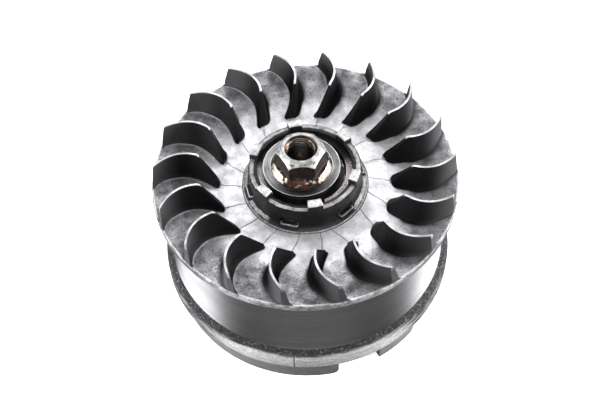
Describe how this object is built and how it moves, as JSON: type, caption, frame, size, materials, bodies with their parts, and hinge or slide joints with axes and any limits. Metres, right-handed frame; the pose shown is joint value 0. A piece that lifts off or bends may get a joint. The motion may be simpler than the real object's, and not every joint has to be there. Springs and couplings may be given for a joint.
{
  "type": "flywheel",
  "caption": "Fan flywheel with curved blades, a steel starter dog cup and captive nut at the hub, and a notched magnet ring under the drum.",
  "frame": {"origin": "on the crankshaft axis, in the plane of the magnet ring's lower edge, which the part stands on", "axes": "+Z along the crankshaft axis, out of the fan side; -Y points to the side that shows the first ring notch, +X to the right of it"},
  "size_m": [0.168, 0.168, 0.1076],
  "materials": {
    "cast_aluminium": "die-cast aluminium, dirty between the blades, machined bright on blade tops and drum",
    "ring_steel": "turned steel, dull grey, stained",
    "magnet_alloy": "cast magnet alloy, dark and matt",
    "pole_iron": "ground soft iron with light rust",
    "screw_steel": "plain steel",
    "dark_steel": "black oxide steel, worn bright on the dogs",
    "hub_steel": "turned steel, oily",
    "nut_steel": "browned steel, bright on the worn top, rusty in the thread",
    "washer_steel": "ground steel",
    "spring_steel": "spring steel with a film of rust"
  },
  "bodies": {
    "flywheel": {"fan_casting": "cast_aluminium", "fan_blade_01": "cast_aluminium", "fan_blade_02": "cast_aluminium", "fan_blade_03": "cast_aluminium", "fan_blade_04": "cast_aluminium", "fan_blade_05": "cast_aluminium", "fan_blade_06": "cast_aluminium", "fan_blade_07": "cast_aluminium", "fan_blade_08": "cast_aluminium", "fan_blade_09": "cast_aluminium", "fan_blade_10": "cast_aluminium", "fan_blade_11": "cast_aluminium", "fan_blade_12": "cast_aluminium", "fan_blade_13": "cast_aluminium", "fan_blade_14": "cast_aluminium", "fan_blade_15": "cast_aluminium", "fan_blade_16": "cast_aluminium", "fan_blade_17": "cast_aluminium", "fan_blade_18": "cast_aluminium", "magnet_ring": "ring_steel", "magnet_1": "magnet_alloy", "magnet_2": "magnet_alloy", "magnet_3": "magnet_alloy", "magnet_4": "magnet_alloy", "magnet_5": "magnet_alloy", "magnet_6": "magnet_alloy", "pole_shoe_1": "pole_iron", "pole_shoe_2": "pole_iron", "pole_shoe_3": "pole_iron", "pole_shoe_4": "pole_iron", "pole_shoe_5": "pole_iron", "pole_shoe_6": "pole_iron", "pole_screw_1a": "screw_steel", "pole_screw_1b": "screw_steel", "pole_screw_2a": "screw_steel", "pole_screw_2b": "screw_steel", "pole_screw_3a": "screw_steel", "pole_screw_3b": "screw_steel", "pole_screw_4a": "screw_steel", "pole_screw_4b": "screw_steel", "pole_screw_5a": "screw_steel", "pole_screw_5b": "screw_steel", "pole_screw_6a": "screw_steel", "pole_screw_6b": "screw_steel", "starter_dog_cup": "dark_steel", "hub_boss": "hub_steel", "breaker_cam": "hub_steel", "cam_pin": "screw_steel", "snap_ring": "spring_steel"},
    "washer": {"nut_washer": "washer_steel"},
    "nut": {"captive_nut": "nut_steel"}
  },
  "joints": [
    {"name": "nut_float", "type": "slide", "parent": "flywheel", "child": "washer", "axis": [0, 0, 1], "range_m": [0, 0.0015]},
    {"name": "nut_spin", "type": "hinge", "parent": "washer", "child": "nut", "pos_m": [-0.0017, 0, 0.095], "axis": [0, 0, 1], "continuous": true}
  ]
}
